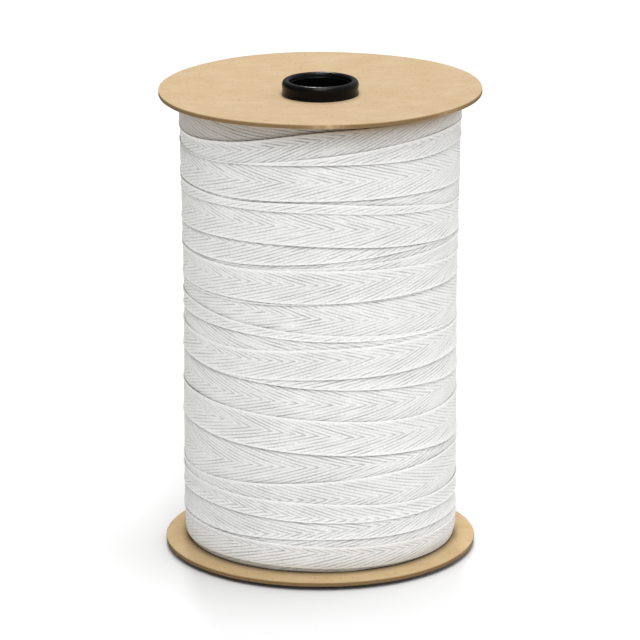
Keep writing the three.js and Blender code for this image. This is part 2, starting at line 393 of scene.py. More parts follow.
# From valley grey to white. The grey is partly the gaps between the yarns and partly painted
# shade, and the white of the smooth selvedges is partly painted highlight.
twill_colour_with_painted_light = add_node(
    cotton,
    "Mix",
    {"data_type": "RGBA"},
    {0: yarn_light.outputs["Value"], 6: linear("#B1B1B1"), 7: linear("#F3F3F2")},
)
reel_place = add_node(cotton, "TexCoord")
tint = add_node(
    cotton,
    "TexNoise",
    inputs={"Vector": reel_place.outputs["Object"], "Scale": 1 / (TINT_PATCH * MM), "Detail": 1.0},
)
tint_share = add_node(
    cotton,
    "MapRange",
    inputs={
        "Value": tint.outputs["Fac"],
        "From Min": 0.35,
        "From Max": 0.65,
        "To Max": TINT_MOST,
    },
)
cotton_colour = add_node(
    cotton,
    "Mix",
    {"data_type": "RGBA", "blend_type": "MULTIPLY"},
    {0: tint_share.outputs["Result"], 6: twill_colour_with_painted_light.outputs[2], 7: linear("#F7F7F5")},
)
# Painted shade where the boards overhang and meet the tape, drawn towards a brown.
shade_by_boards = add_node(cotton, "Attribute", {"attribute_name": "shade_by_boards"})
shaded_by_boards_colour = add_node(
    cotton,
    "Mix",
    {"data_type": "RGBA", "blend_type": "MULTIPLY"},
    {0: shade_by_boards.outputs["Fac"], 6: cotton_colour.outputs[2], 7: linear("#A8937A")},
)
# Painted shade in the seams, at the winding's foot and inside the laps: the stored value draws the
# colour towards a dark grey.
painted_crease_shade = add_node(cotton, "Attribute", {"attribute_name": "painted_crease_shade"})
crease_shade_amount = add_node(
    cotton,
    "Math",
    {"operation": "MULTIPLY", "use_clamp": True},
    {0: painted_crease_shade.outputs["Fac"], 1: CREASE_DARKNESS},
)
crease_shaded_colour = add_node(
    cotton,
    "Mix",
    {"data_type": "RGBA"},
    {0: crease_shade_amount.outputs["Value"], 6: shaded_by_boards_colour.outputs[2], 7: linear("#33312C")},
)
yarn_bump = add_node(
    cotton,
    "Bump",
    inputs={"Height": slub.outputs["Fac"], "Strength": 0.35, "Distance": 0.12 * MM},
)
cotton_shader = add_node(
    cotton,
    "BsdfPrincipled",
    inputs={
        "Base Color": crease_shaded_colour.outputs[2],
        "Roughness": 0.92,
        "Specular IOR Level": 0.2,
        "Sheen Weight": 0.12,
        "Sheen Roughness": 0.6,
        "Normal": yarn_bump.outputs["Normal"],
    },
)
cotton.node_tree.links.new(cotton_shader.outputs[0], cotton_output.inputs["Surface"])
print("cotton material has", len(cotton.node_tree.nodes), "nodes")

# %% [markdown]
# ## One lap of tape
#
# A lap is a flat woven band, about half a millimetre thick. One edge lies on its
# neighbour and stands a little proud, and the other edge runs in under the next lap,
# which draws the dark seams, deepened by a painted shade in each seam. At an edge that
# shows, the weft turns round the last yarn and makes a smooth, slightly scalloped
# selvedge, painted lighter than the ridges as a painted highlight.
#
# The ridges run at 16 degrees to the tape and meet in points along its middle. A grid
# with straight columns would need very small faces to draw them, with stairs along each
# ridge. Instead the columns lean with the ridges: a column starts at the point line and
# drops back by the distance to it over the tangent of 16 degrees. Every column then runs
# along a ridge, and eight of them draw one ridge.
#
# The rest is wear and painted shade. The ridges are worn flatter towards the reel's
# sides, every seam gapes more in some places than in others and holds a painted shade,
# darker where it gapes more, and the tape beside the boards carries a brown painted shade.

# %% Lap shape
TWILL_ANGLE = np.radians(16)
RIDGES_ROUND = 75
COLUMNS_PER_RIDGE = 8
RIDGE_HEIGHT = 0.18
RIDGE_FULLNESS = 0.7
# Ridges reach only this share of the twill value, so that the smooth selvedges, at 1, show as a
# painted highlight.
RIDGE_SHADE = 0.82
VALLEY_RANGE = (0.7, 1.05)
VALLEY_UNEVENNESS = 0.8
SIDE_RUB = 0.45
TAPE_THICKNESS = 0.55
LAP_PROUD = 0.4
LAP_RECESS = 0.6
LAP_WAVINESS = 0.12
EDGE_REACH = 3.0
FULL_RELIEF_SHOWING = 4.0
LEAST_RELIEF = 0.3
HIDDEN_WIDTH = 1.8
HIDDEN_DIVE = 0.35
UPPER_SELVEDGE = 2.2
LOWER_SELVEDGE = 0.9
SCALLOP = 0.08
PATTERN_SHIFT = 40
# A lap that shows more than WIDE_LAP gets more rows between two stations.
WIDE_LAP = 6.0
WIDE_LAP_ROWS, NARROW_LAP_ROWS = 9, 5
POINT_CLEARANCE = 0.3
SETTLING_TURNS = 24
# How a seam gapes: its variation, its most, and how far an edge tucks in where it doesn't.
GAPE_VARIATION, GAPE_MOST = 0.35, 1.2
LEAST_TUCK, LOWER_TUCK = 0.3, 0.5
# The painted shade of a seam: its width, its strength under an edge and at the winding's
# foot, how much narrower it is there, and the painted shade inside the lap.
CREASE_WIDTH = 0.6
CREASE_UNDER, CREASE_FOOT = 0.6, 2.6
FOOT_NARROWING = 0.65
CREASE_INSIDE = 0.4
# Brown painted shade beside the boards: its reach, and its strength at the left and right
# below the upper board and above the lower one. The first lap is treated apart, with a share all
# over.
BOARD_REACH = 3.6
BOARD_SHADE, FOOT_SHADE = (1.5, 2.6), (0.4, 0.1)
FIRST_LAP_SHADE_NEAR_BOARD, FIRST_LAP_SHADE_ALL_OVER = 0.5, 0.36

lap_rng = np.random.default_rng(19)
middle_radius = winding_radius(REEL_HEIGHT / 2)
lean = np.degrees(1 / (middle_radius * np.tan(TWILL_ANGLE)))
chevron = 2 * np.pi * middle_radius / RIDGES_ROUND
print("a chevron repeats every", round(chevron, 2), "mm along the tape")


def lap_rows(showing, covered_above, covered_below):
    """The rows of a lap's section as (station, depth, edge, how many lie on the outer
    face): down the outer face, round the lower edge, up the inner face and round the upper
    edge. Station 1 is the upper boundary, 2 the point line, 3 the lower boundary, and 0
    and 4 the hidden ends, and rows stand closer near 1, 2 and 3, by a cosine. depth is
    measured in from the outer face, and edge is how far the row bulges past the boundary."""
    rows = WIDE_LAP_ROWS if showing > WIDE_LAP else NARROW_LAP_ROWS
    closer = (1 - np.cos(np.pi * np.linspace(0, 1, rows))) / 2
    top, low = (0 if covered_above else 1), (4 if covered_below else 3)
    face = np.r_[1 + closer, 2 + closer[1:]]
    face = np.r_[[0, 0.6] if covered_above else [], face, [3.4, 4] if covered_below else []]
    turn = np.radians([45, 90, 135])
    sink = TAPE_THICKNESS * (1 - np.cos(turn)) / 2
    bulge = TAPE_THICKNESS * np.sin(turn) / 4
    station = np.r_[face, [low] * 3, [low, 2, top], [top] * 3]
    depth = np.r_[face * 0, sink, [TAPE_THICKNESS] * 3, sink[::-1]]
    edge = np.r_[face * 0, -bulge, [0] * 3, bulge]
    return station, depth, edge, len(face)


def on(row, azimuth):
    """A boundary's height at any azimuths, read from its samples all the way round."""
    return np.interp(azimuth, AZIMUTHS, row, period=360)


def sideways(azimuth, left, right):
    """A value that goes from left to right as the sine of the azimuth does."""
    side = np.sin(np.radians(azimuth)) / np.sin(np.radians(EDGE_AZIMUTHS[-1]))
    return (left + right) / 2 + side * (right - left) / 2


def lap_ridges(rows):
    """The twill of a lap, 1 on a ridge and lower in the valleys between: the size of a sine
    over the columns of each ridge. No two valleys are equally deep, and each is uneven
    along its way, by random values averaged over three neighbouring columns."""
    columns = RIDGES_ROUND * COLUMNS_PER_RIDGE
    wave = np.abs(np.sin(np.pi * np.arange(columns) / COLUMNS_PER_RIDGE)) ** RIDGE_FULLNESS
    valleys = np.repeat(lap_rng.uniform(*VALLEY_RANGE, RIDGES_ROUND), COLUMNS_PER_RIDGE)
    valleys = np.roll(valleys, -COLUMNS_PER_RIDGE // 2)[:, None]
    uneven = lap_rng.normal(size=(columns, rows))
    uneven = (uneven + np.roll(uneven, 1, 0) + np.roll(uneven, -1, 0)) / 3
    return 1 + (wave[:, None] - 1) * valleys * (1 + VALLEY_UNEVENNESS * uneven)


def settled_rows(upper, lower, points, station, start):
    """Where the column that starts at start crosses each row, as (azimuth, height, point
    line, upper boundary, lower boundary). The height depends on the azimuth, through the
    boundaries, and the azimuth on the height, as the start less lean times the distance to
    the point line, so the two are settled by turns."""
    k = np.minimum(station.astype(int), 3)
    share = station - k
    azimuth = np.repeat(start, len(station), 1)
    for _ in range(SETTLING_TURNS):
        top, low = on(upper, azimuth), on(lower, azimuth)
        point = low + sideways(azimuth, *points)
        spare = np.minimum(POINT_CLEARANCE, (top - low) / 3)
        turn_row = np.clip(point, low + spare, top - spare)
        stops = np.stack([top + HIDDEN_WIDTH, top, turn_row, low, low - HIDDEN_WIDTH])
        from_stop = np.choose(k, stops[:4])
        to_stop = np.choose(k, stops[1:])
        height = from_stop + (to_stop - from_stop) * share
        azimuth = start - lean * np.abs(height - point)
    return azimuth, height, point, top, low


def lap_shade_near_boards(azimuth, height, first):
    """How much brown painted shade lies on a lap beside the boards: it fades by a factor e
    over each BOARD_REACH below the upper board, and over each half of it above the foot."""
    to_board = height - upper_underside(winding_radius(height), azimuth)
    near_board = np.exp(to_board / BOARD_REACH)
    near_board *= FIRST_LAP_SHADE_NEAR_BOARD if first else sideways(azimuth, *BOARD_SHADE)
    near_foot = np.exp((foot_height - height) / (BOARD_REACH / 2))
    all_over = FIRST_LAP_SHADE_ALL_OVER if first else 0
    return near_board + all_over + sideways(azimuth, *FOOT_SHADE) * near_foot


def lap_piece(index, name):
    """One lap as a closed band. An edge that shows stands LAP_PROUD, an edge that runs in
    under its neighbour sinks by up to LAP_RECESS, and both fade out within EDGE_REACH. The
    radius is the winding's plus these, slow waves and the twill, less the depth inside."""
    last = index == len(boundaries) - 2
    upper, lower = boundaries[index], boundaries[index + 1]
    covered_above = index > 0 and lies_over[index - 1]
    covered_below = not last and not lies_over[index]
    points = LAST_LAP_POINTS if last else TAPE_LAPS[index][6:8]
    gape_above = TAPE_LAPS[index - 1][8:] if index else (0, 0)
    gape_below = LAST_LAP_GAPE if last else TAPE_LAPS[index][8:]
    showing_most = (upper - lower).max()
    station, depth, edge, face = lap_rows(showing_most, covered_above, covered_below)
    outer = np.arange(len(station)) < face

    columns = RIDGES_ROUND * COLUMNS_PER_RIDGE
    start = 360 * (np.arange(columns) / columns + lap_rng.uniform(0, 1 / RIDGES_ROUND))
    settled = settled_rows(upper, lower, points, station, start[:, None])
    azimuth, height, point, top, low = settled

    showing = top - low
    full = np.clip(showing / FULL_RELIEF_SHOWING, LEAST_RELIEF, 1)
    reach = np.minimum(EDGE_REACH, showing / 2)
    above, below = top - height, height - low
    looser = 1 + soft_noise(azimuth, lap_rng, [5, 8, 13, 21], GAPE_VARIATION)
    open_above = np.clip(sideways(azimuth, *gape_above) * looser, 0, GAPE_MOST)
    open_below = np.clip(sideways(azimuth, *gape_below) * looser, 0, GAPE_MOST)
    tuck = LEAST_TUCK + (1 - LEAST_TUCK) * open_above
    step_above = -LAP_RECESS * tuck if covered_above else LAP_PROUD
    step_below = -LAP_RECESS * LOWER_TUCK * open_below if covered_below else LAP_PROUD
    relief = full * step_above * (1 - settle(above / reach))
    relief += full * step_below * (1 - settle(below / reach))
    relief -= HIDDEN_DIVE * np.maximum(0, np.maximum(-above, -below)) / HIDDEN_WIDTH
    relief += soft_noise(azimuth, lap_rng, [2, 3, 5, 7], LAP_WAVINESS)
    relief -= sideways(azimuth, *LAP_SINKS.get(index, (0, 0)))

    smooth_above = 1 if covered_above else settle(above / UPPER_SELVEDGE)
    smooth_below = 1 if covered_below else settle(below / LOWER_SELVEDGE)
    crisp = 1 - SIDE_RUB * np.sin(np.radians(azimuth)) ** 2
    ridge = 1 + (lap_ridges(len(station)) - 1) * crisp
    twill = 1 + (ridge - 1) * smooth_above * smooth_below
    relief += RIDGE_HEIGHT * (twill - 1) * outer

    # Painted shade of the seams, strongest at the edge and where the seam gapes most.
    painted_crease_shade = np.exp(-np.maximum(above, 0) / CREASE_WIDTH) * open_above * covered_above
    under = CREASE_UNDER if covered_below else CREASE_FOOT * last
    width = CREASE_WIDTH * (FOOT_NARROWING if last else 1)
    painted_crease_shade += np.exp(-np.maximum(below, 0) / width) * open_below * under
    # twill holds the ridges with their painted shade and the selvedges' painted highlight; the
    # next value is the painted shade of the seams, and the last the painted shade beside the
    # boards.
    shades = {
        "twill": 1 + (RIDGE_SHADE * ridge - 1) * smooth_above * smooth_below,
        "painted_crease_shade": np.where(outer, painted_crease_shade, CREASE_INSIDE),
        "shade_by_boards": lap_shade_near_boards(azimuth, height, index == 0),
    }
    scallop = SCALLOP * np.cos(4 * np.pi * np.arange(columns) / COLUMNS_PER_RIDGE)[:, None]
    height = height + edge * full + scallop * (1 - smooth_above * smooth_below)

    radius = winding_radius(height) + relief - depth
    place = turned_point(radius, azimuth, height)
    run = np.radians(azimuth) * middle_radius
    run = np.concatenate([run, run[:1] + 2 * np.pi * middle_radius])
    across = np.concatenate([height - point, (height - point)[:1]])
    uv = np.stack([run, across + PATTERN_SHIFT * index], -1)
    uv = np.concatenate([uv, uv[:, :1]], 1)
    return ring_piece(name, place, uv, shades, cotton)


# %% [markdown]
# The laps are made from the top down. Together they stand for the one solid of the
# winding, and each says so to the frame.

# %% All laps
for index in range(len(boundaries) - 1):
    lap = lap_piece(index, f"tape_lap_{index + 1:02d}")
    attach(lap, "root")
    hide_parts("tape_winding")

# %% [markdown]
# ## The wound core
#
# Behind the laps that show, the reel is full of tape. None of it is seen, apart from a
# glimpse in the deepest seams, so one plain body fills it. It keeps clear of the boards
# and the tube as the solid does, and its radius stays under the laps.

# %% Wound core
CORE_DEPTH = 1.9
# Near its top the core sinks further in, because the first lap does.
CORE_TOP_SINK = 4.5
CORE_SINK_FROM, CORE_SINK_OVER = 212.0, 12.0
CORE_SIDES = 96
# Only seen deep in the seams, it is painted in full shade: low twill, full seam shade.
CORE_SHADES = {"twill": 0.3, "painted_crease_shade": 1.5, "shade_by_boards": 0.0}
core_azimuth = np.arange(CORE_SIDES + 1)[:, None] * 360 / CORE_SIDES
core_bore = TUBE_OUTER_RADIUS + FIT_GAP
core_rows = np.linspace(0, 1, 14)


def core_section(azimuth):
    """The core's section at each azimuth: down the outside, in along the lower board, up
    the tube and out along the upper board. Returned as (radius, height)."""
    high = upper_underside(winding_radius(OUTLINE_TOP), azimuth) - 2 * FIT_GAP
    deep = lower_top(winding_radius(OUTLINE_FOOT)) + 2 * FIT_GAP
    outside = high + (deep - high) * core_rows
    sunk = settle((outside - CORE_SINK_FROM) / CORE_SINK_OVER)
    radius = winding_radius(outside) - CORE_DEPTH - CORE_TOP_SINK * sunk
    hub = np.full_like(azimuth, FLANGE_HUB_RADIUS, dtype=float)
    bore = np.full_like(azimuth, core_bore, dtype=float)
    inner = [(hub, lower_top(hub)), (bore, lower_top(bore))]
    outer = [(bore, upper_underside(bore, azimuth)), (hub, upper_underside(hub, azimuth))]
    radii = np.hstack([radius, *(r for r, _ in inner), *(r for r, _ in outer)])
    heights = [z + 2 * FIT_GAP for _, z in inner] + [z - 2 * FIT_GAP for _, z in outer]
    return radii, np.hstack([outside, *heights])


core_radius, core_height = core_section(core_azimuth.astype(float))
core_points = turned_point(core_radius, core_azimuth, core_height)[:-1]
core_uv = np.stack([np.radians(core_azimuth) * core_radius, core_height], -1)
core_uv = np.concatenate([core_uv, core_uv[:, :1]], 1)
core = ring_piece("wound_core", core_points, core_uv, CORE_SHADES, cotton)
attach(core, "root")
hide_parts("tape_winding")

# %% [markdown]
# ## Kraft board
#
# The two flanges are die-cut from kraft board: unbleached wood pulp, pressed and glued in
# plies, about 2.3 mm thick. The face is a warm light brown, matt, with long fibres that
# run one way, soft clouds where the pulp was thicker, dark bark specks and a few pale
# fibres. The cut edge is darker, because it shows the ends of the fibres, and the plies
# draw fine lines along it.
#
# All of that comes from noise at the size of the real thing. The faces read the board's
# own place in millimetres from its UV map, so the two boards show different fibres.

# %% Kraft board material
kraft, kraft_output = new_material("kraft_board_solid_glued")
FIBRE_LENGTH, FIBRE_WIDTH = 9.0, 0.8
CLOUD_SIZE = 16.0

board_place = add_node(kraft, "UVMap", {"uv_map": "pattern_mm"}).outputs["UV"]
fibre_place = add_node(
    kraft,
    "Mapping",
    inputs={"Vector": board_place, "Scale": (1 / FIBRE_LENGTH, 1 / FIBRE_WIDTH, 1)},
)
fibres = add_node(
    kraft,
    "TexNoise",
    inputs={"Vector": fibre_place.outputs["Vector"], "Scale": 1.0, "Detail": 3.0},
)
clouds = add_node(
    kraft,
    "TexNoise",
    inputs={"Vector": board_place, "Scale": 1 / CLOUD_SIZE, "Detail": 3.0, "Roughness": 0.6},
)
cloud_share = add_node(
    kraft,
    "MapRange",
    inputs={"Value": clouds.outputs["Fac"], **NOISE_RANGE},
)
cloud_colour = add_node(
    kraft,
    "Mix",
    {"data_type": "RGBA"},
    {0: cloud_share.outputs["Result"], 6: linear("#B39971"), 7: linear("#BCA47E")},
)
fibre_share = add_node(
    kraft,
    "MapRange",
    inputs={"Value": fibres.outputs["Fac"], "From Min": 0.55, "From Max": 0.75, "To Max": 0.35},
)
fibre_colour = add_node(
    kraft,
    "Mix",
    {"data_type": "RGBA"},
    {0: fibre_share.outputs["Result"], 6: cloud_colour.outputs[2], 7: linear("#A48965")},
)
print("kraft fibres are drawn", FIBRE_LENGTH, "mm long")

# %% [markdown]
# Specks and flecks are the cells of a Voronoi pattern: one speck in each cell, and only
# where the cell's own random colour passes a mark, so that they lie scattered and not in
# rows. A real speck is 0.2 to 0.5 mm; here they are up to 0.8 mm, so that they still show.
# A pale fleck is a bundle of bleached fibres, so its cells are stretched as the fibres are.

# %% Specks and flecks
SPECK_SPACING = 4.2
SPECK_MARK, FLECK_MARK = 0.62, 0.76
FLECKS_PER_FIBRE = 0.45

specks = add_node(
    kraft,
    "TexVoronoi",
    {"voronoi_dimensions": "2D"},
    {"Vector": board_place, "Scale": 1 / SPECK_SPACING},
)
speck_kept = add_node(
    kraft, "Math", {"operation": "GREATER_THAN"}, {0: specks.outputs["Color"], 1: SPECK_MARK}
)
speck_size = add_node(
    kraft,
    "MapRange",
    {"interpolation_type": "SMOOTHSTEP"},
    {"Value": specks.outputs["Distance"], "From Min": 0.14, "From Max": 0.05, "To Max": 0.55},
)
speck_share = add_node(
    kraft,
    "Math",
    {"operation": "MULTIPLY"},
    {0: speck_kept.outputs["Value"], 1: speck_size.outputs["Result"]},
)
flecks = add_node(
    kraft,
    "TexVoronoi",
    {"voronoi_dimensions": "2D"},
    {"Vector": fibre_place.outputs["Vector"], "Scale": FLECKS_PER_FIBRE},
)
fleck_kept = add_node(
    kraft, "Math", {"operation": "GREATER_THAN"}, {0: flecks.outputs["Color"], 1: FLECK_MARK}
)
fleck_size = add_node(
    kraft,
    "MapRange",
    {"interpolation_type": "SMOOTHSTEP"},
    {"Value": flecks.outputs["Distance"], "From Min": 0.3, "From Max": 0.1, "To Max": 0.26},
)
fleck_share = add_node(
    kraft,
    "Math",
    {"operation": "MULTIPLY"},
    {0: fleck_kept.outputs["Value"], 1: fleck_size.outputs["Result"]},
)
face_colour = add_node(
    kraft,
    "Mix",
    {"data_type": "RGBA"},
    {0: fleck_share.outputs["Value"], 6: fibre_colour.outputs[2], 7: linear("#CDBC9E")},
)
print("specks lie about", SPECK_SPACING, "mm apart")

# %% [markdown]
# The rest follows the board's own shape, through five values stored at its points. "tone"
# is 1 on the upper board, which is drawn a little darker and less yellow than the lower
# one: painted light, for the warmer look the lower board has in the shade under the
# winding. "cut" is 1 on the cut edge, and a sine of "ply", the height through the board,
# draws the plies there as four light and dark lines. "worn" brings in the pale torn fibres
# of a knocked rim, and a pale line along the upper corner, which is a painted highlight.
# The fifth value is a painted shade on the lower board, beside the winding and over the
# outer part of its underside.

# %% Cut edge, wear, painted highlight and painted shade
# The upper board is toned a little darker and less yellow than the lower one: painted light, for
# the warmer look the lower board has in the shade under the winding.
tone = add_node(kraft, "Attribute", {"attribute_name": "tone"})
toned_colour = add_node(
    kraft,
    "Mix",
    {"data_type": "RGBA", "blend_type": "MULTIPLY"},
    {0: tone.outputs["Fac"], 6: face_colour.outputs[2], 7: linear("#F3F5FE")},
)
cut = add_node(kraft, "Attribute", {"attribute_name": "cut"})
worn = add_node(kraft, "Attribute", {"attribute_name": "worn"})
ply = add_node(kraft, "Attribute", {"attribute_name": "ply"})
PLIES = 4
ply_angle = add_node(
    kraft, "Math", {"operation": "MULTIPLY"}, {0: ply.outputs["Fac"], 1: 2 * np.pi * PLIES}
)
ply_wave = add_node(kraft, "Math", {"operation": "SINE"}, {0: ply_angle.outputs["Value"]})
ply_share = add_node(
    kraft,
    "MapRange",
    inputs={"Value": ply_wave.outputs["Value"], "From Min": -1.0, "From Max": 1.0},
)
ply_colour = add_node(
    kraft,
    "Mix",
    {"data_type": "RGBA"},
    {0: ply_share.outputs["Result"], 6: linear("#6C5435"), 7: linear("#8A704C")},
)
# Pale torn fibres of a knocked rim, and a painted highlight along the upper corner.
wear_and_highlight_colour = add_node(
    kraft,
    "Mix",
    {"data_type": "RGBA"},
    {0: worn.outputs["Fac"], 6: ply_colour.outputs[2], 7: linear("#C9AD80")},
)
board_colour = add_node(
    kraft,
    "Mix",
    {"data_type": "RGBA"},
    {0: cut.outputs["Fac"], 6: toned_colour.outputs[2], 7: wear_and_highlight_colour.outputs[2]},
)
speck_colour = add_node(
    kraft,
    "Mix",
    {"data_type": "RGBA"},
    {0: speck_share.outputs["Value"], 6: board_colour.outputs[2], 7: linear("#75583A")},
)
# Painted shade on the lower board, towards a dark brown: beside the winding and under its outer
# part.
painted_board_shade = add_node(kraft, "Attribute", {"attribute_name": "painted_board_shade"})
board_colour_in_shade = add_node(
    kraft,
    "Mix",
    {"data_type": "RGBA"},
    {0: painted_board_shade.outputs["Fac"], 6: speck_colour.outputs[2], 7: linear("#2E2417")},
)
board_bump = add_node(
    kraft,
    "Bump",
    inputs={"Height": fibres.outputs["Fac"], "Strength": 0.3, "Distance": 0.1 * MM},
)
kraft_shader = add_node(
    kraft,
    "BsdfPrincipled",
    inputs={
        "Base Color": board_colour_in_shade.outputs[2],
        "Roughness": 0.85,
        "Specular IOR Level": 0.25,
        "Normal": board_bump.outputs["Normal"],
    },
)
kraft.node_tree.links.new(kraft_shader.outputs[0], kraft_output.inputs["Surface"])
print("kraft material has", len(kraft.node_tree.nodes), "nodes")

# %% [markdown]
# ## The flanges
#
# Each flange is a disc with a round hole, slightly dished. A cylinder with a hole cut by
# a Boolean would have razor-sharp rims. Here a section with rounded corners is carried
# round the axis instead, and the rim's own azimuth can then change it: the board is a
# touch wavy, its rim is rough from the die, and in a few places, most of all at the front
# of the upper board, it has been knocked, so the corner is rounder and set back.

# %% Flange shape
FLANGE_SIDES = 360
RIM_CORNER = 0.28
WAVINESS = 0.16
RIM_ROUGHNESS = 0.05
# The rim starts RIM_BAND in from the edge, and the cut colour CUT_BLEND from each face.
RIM_BAND, CUT_BLEND = 1.5, 0.25
# Worn places: how far the edge is chewed and how deep it goes back; and the pale upper
# corner, a painted highlight.
CHEWED_SIZE = 0.5
WORN_DEPTH = 0.7
CORNER_HIGHLIGHT = 0.6
CORNER_DROP, CORNER_BAND = 0.3, 0.35
# Painted shade on the lower board: its reach beside the winding, and from which radius on,
# over how much and how strongly it darkens the underside.
WINDING_SHADE_REACH = 1.6
UNDERSIDE_SHADE_FROM, UNDERSIDE_SHADE_OVER, UNDERSIDE_SHADE_STRENGTH = 55.0, 15.0, 0.8
# The pattern of the cut edge is this much finer in height, and each board has its own part.
EDGE_FINENESS, BOARD_SHIFT = 3, 300
# The worn places of each board: azimuth, half width, and how much.
UPPER_WORN = [(52, 14, 0.6), (2, 11, 1.0), (150, 10, 0.6)]
LOWER_WORN = [(70, 12, 0.5), (215, 14, 0.6)]


def worn_at(azimuth, places):
    """How worn the rim is, from 0 to 1: a smooth bump at each (azimuth, half width, how
    much)."""
    away = [(azimuth - at + 180) % 360 - 180 for at, _, _ in places]
    bumps = [much * (1 - settle(np.abs(x) / w)) for x, (_, w, much) in zip(away, places)]
    return np.clip(sum(bumps), 0, 1)


def flange_piece(name, rim_radius, rim_rise, hub_height, tilt, worn_places, seed, tone):
    """A dished board: its section runs out along the underside, up the rim with two
    rounded corners, in over the top and down the hole. Each point goes up by the cone and
    by the tilt, and the whole waves gently. At the rim the radius takes the roughness of
    the die and loses what is chewed, more at the underside than at the top. tone is 1 for
    the upper board, drawn a little darker and less yellow as painted light, and 0 for the
    lower one, which also gets a painted shade beside the winding and underneath."""
    rng = np.random.default_rng(seed)
    azimuth = np.arange(FLANGE_SIDES + 1)[:, None] * 360 / FLANGE_SIDES
    worn = worn_at(azimuth, worn_places)
    corner = RIM_CORNER * (1 + worn)
    arc = np.radians(np.linspace(0, 90, 5))
    span = rim_radius - corner - FLANGE_HOLE_RADIUS
    shares = np.linspace(0, 1, 18)
    under = FLANGE_HOLE_RADIUS + span * shares
    low_r = rim_radius - corner * (1 - np.sin(arc[1:]))
    low_z = corner * (1 - np.cos(arc[1:]))
    wall_z = corner + (FLANGE_THICKNESS - 2 * corner) * np.linspace(0, 1, 9)[1:-1]
    wall_r = np.full_like(wall_z, rim_radius)
    hole_z = FLANGE_THICKNESS * np.linspace(1, 0, 5)[1:-1] + 0 * azimuth
    hole_r = np.full_like(hole_z, FLANGE_HOLE_RADIUS)
    radius = np.hstack([under, low_r, wall_r, low_r[:, ::-1], under[:, ::-1], hole_r])
    height = np.hstack(
        [0 * under, low_z, wall_z, (FLANGE_THICKNESS - low_z)[:, ::-1]]
        + [0 * under + FLANGE_THICKNESS, hole_z]
    )
    out = settle((radius - rim_radius + RIM_BAND) / RIM_BAND)
    rough = soft_noise(azimuth, rng, [17, 29, 43, 61, 97], RIM_ROUGHNESS)
    chewed = np.abs(soft_noise(azimuth, rng, [31, 53, 71, 88], CHEWED_SIZE)) * worn
    depth = height / FLANGE_THICKNESS
    radius = radius + out * (rough - WORN_DEPTH * chewed * (1 - 0.5 * depth))
    wave = soft_noise(azimuth, rng, [2, 3, 5], WAVINESS) * settle(radius / rim_radius)
    lift = cone_rise(radius, rim_radius, rim_rise) + wave
    across = radius * np.sin(np.radians(azimuth)) * np.tan(np.radians(tilt))
    points = turned_point(radius, azimuth, hub_height + height + lift + across)
    cut = out * settle((np.minimum(height, FLANGE_THICKNESS - height)) / CUT_BLEND)
    torn = np.clip(worn * (0.3 + chewed), 0, 1) + 0 * cut
    # A pale band along the upper corner of the rim: a painted highlight, where the rounded edge
    # catches the light.
    from_corner = np.abs(FLANGE_THICKNESS - height - CORNER_DROP)
    corner_highlight_band = out * settle(1 - from_corner / CORNER_BAND)
    # Painted shade: dark beside the winding's foot on the lower board's top, and over the outer
    # part of its underside.
    beside = radius - winding_radius(OUTLINE_FOOT)
    shade_by_winding = np.exp(-np.maximum(beside, 0) / WINDING_SHADE_REACH)
    shade_underneath = settle((radius - UNDERSIDE_SHADE_FROM) / UNDERSIDE_SHADE_OVER)
    painted_board_shade = np.where(depth > 0.5, shade_by_winding, UNDERSIDE_SHADE_STRENGTH * shade_underneath)
    shades = {
        "cut": cut,
        "worn": np.maximum(torn, CORNER_HIGHLIGHT * corner_highlight_band),
        "ply": depth,
        "tone": tone + 0 * cut,
        "painted_board_shade": (1 - tone) * painted_board_shade * (1 - cut),
    }
    edge_uv = np.stack([np.radians(azimuth) * radius, height * EDGE_FINENESS], -1)
    uv = np.where(cut[..., None] > 0.5, edge_uv, points[..., :2]) + BOARD_SHIFT * seed
    uv = np.concatenate([uv, uv[:, :1]], 1)
    shades = {shade: value[:-1] for shade, value in shades.items()}
    return ring_piece(name, points[:-1], uv, shades, kraft)


upper_flange = flange_piece(
    "upper_board",
    UPPER_FLANGE_RADIUS,
    UPPER_RIM_RISE,
    upper_hub_underside,
    UPPER_FLANGE_TILT,
    UPPER_WORN,
    seed=3,
    tone=1.0,
)
lower_flange = flange_piece(
    "lower_board",
    LOWER_FLANGE_RADIUS,
    -LOWER_RIM_DROOP,
    COLLAR_HEIGHT,
    0.0,
    LOWER_WORN,
    seed=5,
    tone=0.0,
)
for piece, node in ((upper_flange, "upper_flange"), (lower_flange, "lower_flange")):
    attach(piece, "root")
    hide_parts(node)

# %% [markdown]
# ## Black moulded plastic
#
# The tube and its collars are one injection moulding in black polypropylene, with an IOR
# of 1.49. Moulded against polished steel it comes out satin: dark, with soft broad
# highlights on the rounded crest, and faint flow marks that change the gloss a little.

# %% Plastic material
plastic, plastic_output = new_material("black_polypropylene_moulded")
FLOW_MARK = 5.0
GRAIN = 0.5
LEAST_ROUGHNESS, MOST_ROUGHNESS = 0.2, 0.24
plastic_place = add_node(plastic, "TexCoord").outputs["Object"]
flow = add_node(
    plastic,
    "TexNoise",
    inputs={"Vector": plastic_place, "Scale": 1 / (FLOW_MARK * MM), "Detail": 2.0},
)
gloss = add_node(
    plastic,
    "MapRange",
    inputs={
        "Value": flow.outputs["Fac"],
        **NOISE_RANGE,
        "To Min": LEAST_ROUGHNESS,
        "To Max": MOST_ROUGHNESS,
    },
)
black = add_node(
    plastic,
    "Mix",
    {"data_type": "RGBA"},
    {0: flow.outputs["Fac"], 6: linear("#030403"), 7: linear("#070807")},
)
grain = add_node(
    plastic,
    "TexNoise",
    inputs={"Vector": plastic_place, "Scale": 1 / (GRAIN * MM), "Detail": 1.0},
)
grain_bump = add_node(
    plastic,
    "Bump",
    inputs={"Height": grain.outputs["Fac"], "Strength": 0.12, "Distance": 0.05 * MM},
)
